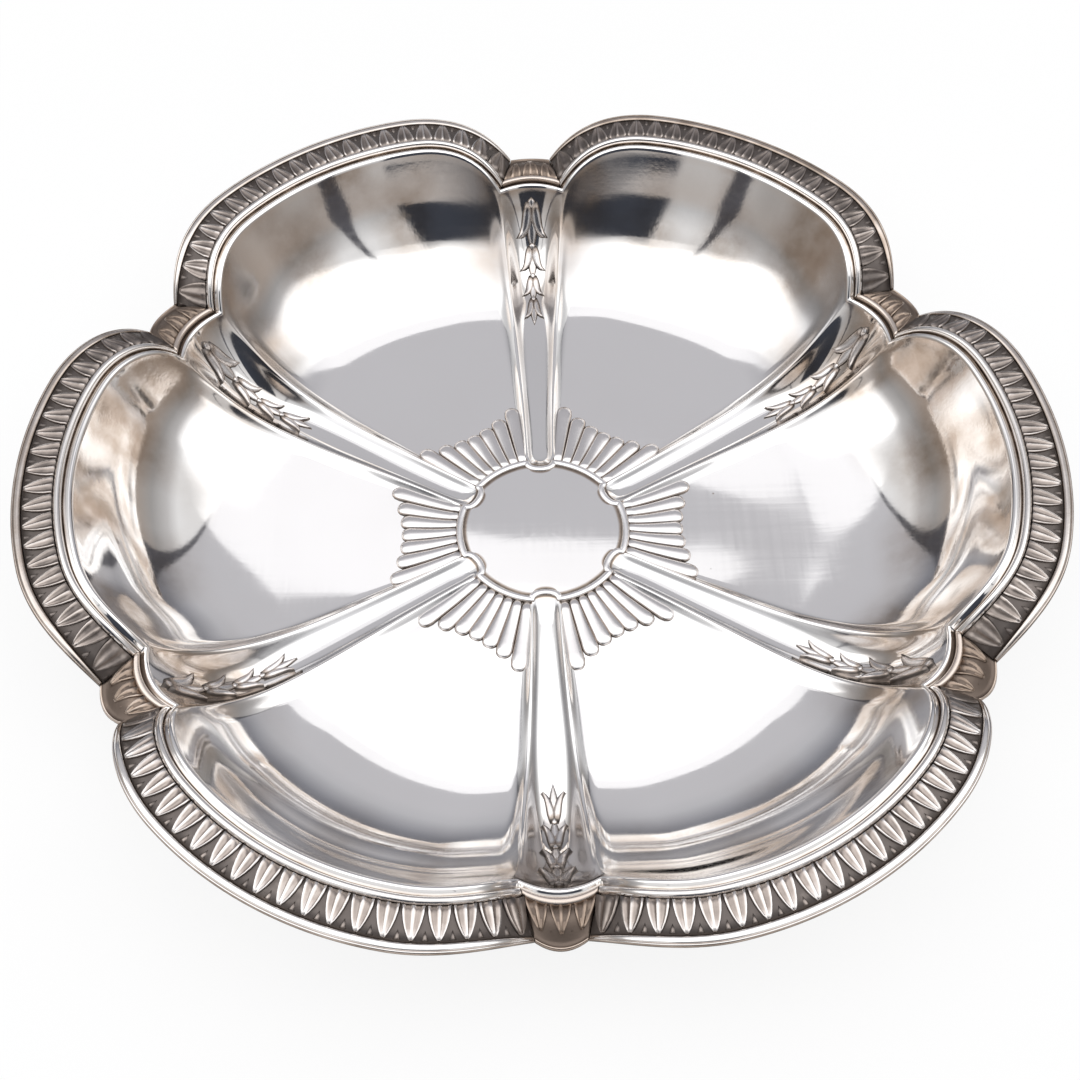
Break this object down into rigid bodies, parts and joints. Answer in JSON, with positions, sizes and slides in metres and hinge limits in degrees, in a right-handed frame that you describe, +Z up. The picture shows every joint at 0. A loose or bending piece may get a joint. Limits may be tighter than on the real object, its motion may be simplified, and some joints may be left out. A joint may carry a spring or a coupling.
{
  "type": "silver serving dish",
  "caption": "Shallow round silver serving dish with petal wells, hollow ribs, a fluted medallion and an applied leaf border, for laying out food on a table.",
  "frame": {"origin": "centre of the dish on the surface that it stands on", "axes": "+Z up along the axis of the dish, +X through the middle of a lobe, +Y along a rib"},
  "size_m": [0.32, 0.305, 0.0436],
  "materials": {
    "sheet_silver": "polished silver with fine scratches and darkened hollows",
    "leaf_silver": "stamped silver, bright on the leaves and blackened in the ground",
    "wire_silver": "drawn silver wire, polished, with dark seams",
    "casting_silver": "cast silver, chased and oxidised brown"
  },
  "bodies": {
    "root": {"dish_sheet": "sheet_silver", "leaf_strip_1": "leaf_silver", "leaf_strip_2": "leaf_silver", "leaf_strip_3": "leaf_silver", "leaf_strip_4": "leaf_silver", "leaf_strip_5": "leaf_silver", "leaf_strip_6": "leaf_silver", "edge_wire_1": "wire_silver", "edge_wire_2": "wire_silver", "edge_wire_3": "wire_silver", "edge_wire_4": "wire_silver", "edge_wire_5": "wire_silver", "edge_wire_6": "wire_silver", "bead_wire_1": "wire_silver", "bead_wire_2": "wire_silver", "bead_wire_3": "wire_silver", "bead_wire_4": "wire_silver", "bead_wire_5": "wire_silver", "bead_wire_6": "wire_silver", "corner_casting_1": "casting_silver", "corner_casting_2": "casting_silver", "corner_casting_3": "casting_silver", "corner_casting_4": "casting_silver", "corner_casting_5": "casting_silver", "corner_casting_6": "casting_silver"}
  },
  "joints": []
}
